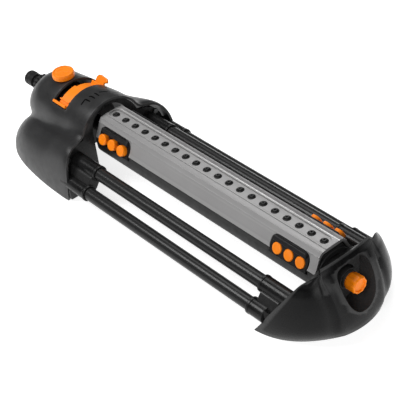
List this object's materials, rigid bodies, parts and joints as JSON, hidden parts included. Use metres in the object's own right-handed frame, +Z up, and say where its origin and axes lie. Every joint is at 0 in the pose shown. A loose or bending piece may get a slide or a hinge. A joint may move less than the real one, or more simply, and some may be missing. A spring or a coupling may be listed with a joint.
{
  "type": "oscillating sprinkler",
  "caption": "Oscillating lawn sprinkler: swinging spray bar with a row of rubber jets between a motor housing and a swept foot, joined by support tubes, with shut-off plugs and range rings.",
  "frame": {"origin": "centre of the footprint on the ground, at the bottom of the bounding box", "axes": "+X from the hose nipple to the foot along the spray bar, +Z up, -Y the side with the pulled-out plugs nearest the hose end"},
  "size_m": [0.4844, 0.14, 0.083],
  "materials": {
    "satin_grey_plastic": "satin, fine moulded grain",
    "charcoal_plastic": "semi-gloss moulded",
    "tube_coating": "satin black coating",
    "silver_paint": "brushed and anodised",
    "orange_plastic": "semi-gloss moulded",
    "black_rubber": "soft moulded rubber",
    "bright_steel": "plain turned",
    "white_nylon": "natural nylon",
    "black_plastic": "moulded"
  },
  "bodies": {
    "frame": {"foot_screw_left": "bright_steel", "foot_screw_right": "bright_steel", "foot_shell": "charcoal_plastic", "foot_tube_bracket": "charcoal_plastic", "housing_screw_left": "bright_steel", "housing_screw_right": "bright_steel", "housing_shell": "satin_grey_plastic", "housing_tube_bracket": "charcoal_plastic", "inlet_filter": "white_nylon", "inlet_nipple": "black_plastic", "motor_case": "black_plastic", "neck_seal": "black_rubber", "nipple_nut": "black_plastic", "nipple_seal": "black_rubber", "range_ring_rail": "black_plastic", "support_tube_inner_left": "tube_coating", "support_tube_inner_right": "tube_coating", "support_tube_outer_left": "tube_coating", "support_tube_outer_right": "tube_coating"},
    "spray_bar": {"bar_cover": "silver_paint", "bar_end_plate_foot": "black_plastic", "bar_end_plate_motor": "black_plastic", "bar_trough": "black_plastic", "shutoff_block_foot_left": "black_plastic", "shutoff_block_foot_right": "black_plastic", "shutoff_block_motor_left": "black_plastic", "shutoff_block_motor_right": "black_plastic", "water_channel": "black_plastic", "nozzle_strip": "black_rubber", "output_gear": "white_nylon", "end_plug_seal": "black_rubber"},
    "end_plug": {"end_plug": "orange_plastic"},
    "flow_control": {"flow_knob": "orange_plastic", "flow_valve_stem": "black_plastic"},
    "range_left": {"range_ring_left": "orange_plastic"},
    "range_right": {"range_ring_right": "orange_plastic"},
    "drive_pinion": {"drive_pinion": "white_nylon"},
    "reduction_gear": {"reduction_gear": "white_nylon"},
    "turbine": {"turbine_wheel": "white_nylon", "turbine_shaft": "bright_steel"},
    "shutoff_plug_foot_left_1": {"shutoff_plug_foot_left_1": "orange_plastic"},
    "shutoff_plug_foot_left_2": {"shutoff_plug_foot_left_2": "orange_plastic"},
    "shutoff_plug_foot_left_3": {"shutoff_plug_foot_left_3": "orange_plastic"},
    "shutoff_plug_foot_right_1": {"shutoff_plug_foot_right_1": "orange_plastic"},
    "shutoff_plug_foot_right_2": {"shutoff_plug_foot_right_2": "orange_plastic"},
    "shutoff_plug_foot_right_3": {"shutoff_plug_foot_right_3": "orange_plastic"},
    "shutoff_plug_motor_left_1": {"shutoff_plug_motor_left_1": "orange_plastic"},
    "shutoff_plug_motor_left_2": {"shutoff_plug_motor_left_2": "orange_plastic"},
    "shutoff_plug_motor_left_3": {"shutoff_plug_motor_left_3": "orange_plastic"},
    "shutoff_plug_motor_right_1": {"shutoff_plug_motor_right_1": "orange_plastic"},
    "shutoff_plug_motor_right_2": {"shutoff_plug_motor_right_2": "orange_plastic"},
    "shutoff_plug_motor_right_3": {"shutoff_plug_motor_right_3": "orange_plastic"}
  },
  "joints": [
    {"name": "bar_swing", "type": "hinge", "parent": "frame", "child": "spray_bar", "pos_m": [0, 0, 0.042], "axis": [1, 0, 0], "range_deg": [-45, 45]},
    {"name": "end_plug_turn", "type": "hinge", "parent": "spray_bar", "child": "end_plug", "pos_m": [0.23, 0, 0.042], "axis": [1, 0, 0], "range_deg": [-720, 0]},
    {"name": "flow_knob_turn", "type": "hinge", "parent": "frame", "child": "flow_control", "pos_m": [-0.1725, 0, 0.08], "axis": [0, 0, 1], "range_deg": [-90, 90]},
    {"name": "range_left_turn", "type": "hinge", "parent": "frame", "child": "range_left", "pos_m": [-0.146, 0, 0.042], "axis": [-1, 0, 0], "range_deg": [0, 17]},
    {"name": "range_right_turn", "type": "hinge", "parent": "frame", "child": "range_right", "pos_m": [-0.146, 0, 0.042], "axis": [-1, 0, 0], "range_deg": [-17, 0]},
    {"name": "drive_pinion_turn", "type": "hinge", "parent": "frame", "child": "drive_pinion", "pos_m": [-0.138, 0, 0.0265], "axis": [1, 0, 0], "range_deg": [-121, 121]},
    {"name": "turbine_spin", "type": "hinge", "parent": "frame", "child": "turbine", "pos_m": [-0.18, 0, 0.042], "axis": [1, 0, 0], "continuous": true},
    {"name": "reduction_spin", "type": "hinge", "parent": "frame", "child": "reduction_gear", "pos_m": [-0.162, 0, 0.0307], "axis": [1, 0, 0], "continuous": true},
    {"name": "plug_foot_left_1_slide", "type": "slide", "parent": "spray_bar", "child": "shutoff_plug_foot_left_1", "axis": [0, -0.9034, 0.4287], "range_m": [0, 0.006]},
    {"name": "plug_foot_left_2_slide", "type": "slide", "parent": "spray_bar", "child": "shutoff_plug_foot_left_2", "axis": [0, -0.9034, 0.4287], "range_m": [0, 0.006]},
    {"name": "plug_foot_left_3_slide", "type": "slide", "parent": "spray_bar", "child": "shutoff_plug_foot_left_3", "axis": [0, -0.9034, 0.4287], "range_m": [0, 0.006]},
    {"name": "plug_foot_right_1_slide", "type": "slide", "parent": "spray_bar", "child": "shutoff_plug_foot_right_1", "axis": [0, 0.9034, 0.4287], "range_m": [-0.006, 0]},
    {"name": "plug_foot_right_2_slide", "type": "slide", "parent": "spray_bar", "child": "shutoff_plug_foot_right_2", "axis": [0, 0.9034, 0.4287], "range_m": [-0.006, 0]},
    {"name": "plug_foot_right_3_slide", "type": "slide", "parent": "spray_bar", "child": "shutoff_plug_foot_right_3", "axis": [0, 0.9034, 0.4287], "range_m": [-0.006, 0]},
    {"name": "plug_motor_left_1_slide", "type": "slide", "parent": "spray_bar", "child": "shutoff_plug_motor_left_1", "axis": [0, -0.9034, 0.4287], "range_m": [-0.0035, 0.0025]},
    {"name": "plug_motor_left_2_slide", "type": "slide", "parent": "spray_bar", "child": "shutoff_plug_motor_left_2", "axis": [0, -0.9034, 0.4287], "range_m": [-0.0035, 0.0025]},
    {"name": "plug_motor_left_3_slide", "type": "slide", "parent": "spray_bar", "child": "shutoff_plug_motor_left_3", "axis": [0, -0.9034, 0.4287], "range_m": [-0.0035, 0.0025]},
    {"name": "plug_motor_right_1_slide", "type": "slide", "parent": "spray_bar", "child": "shutoff_plug_motor_right_1", "axis": [0, 0.9034, 0.4287], "range_m": [0, 0.006]},
    {"name": "plug_motor_right_2_slide", "type": "slide", "parent": "spray_bar", "child": "shutoff_plug_motor_right_2", "axis": [0, 0.9034, 0.4287], "range_m": [0, 0.006]},
    {"name": "plug_motor_right_3_slide", "type": "slide", "parent": "spray_bar", "child": "shutoff_plug_motor_right_3", "axis": [0, 0.9034, 0.4287], "range_m": [0, 0.006]}
  ],
  "couplings": [
    {"joint": "drive_pinion_turn", "follows": "bar_swing", "ratio": -2.6667},
    {"joint": "reduction_spin", "follows": "turbine_spin", "ratio": -0.33333}
  ]
}
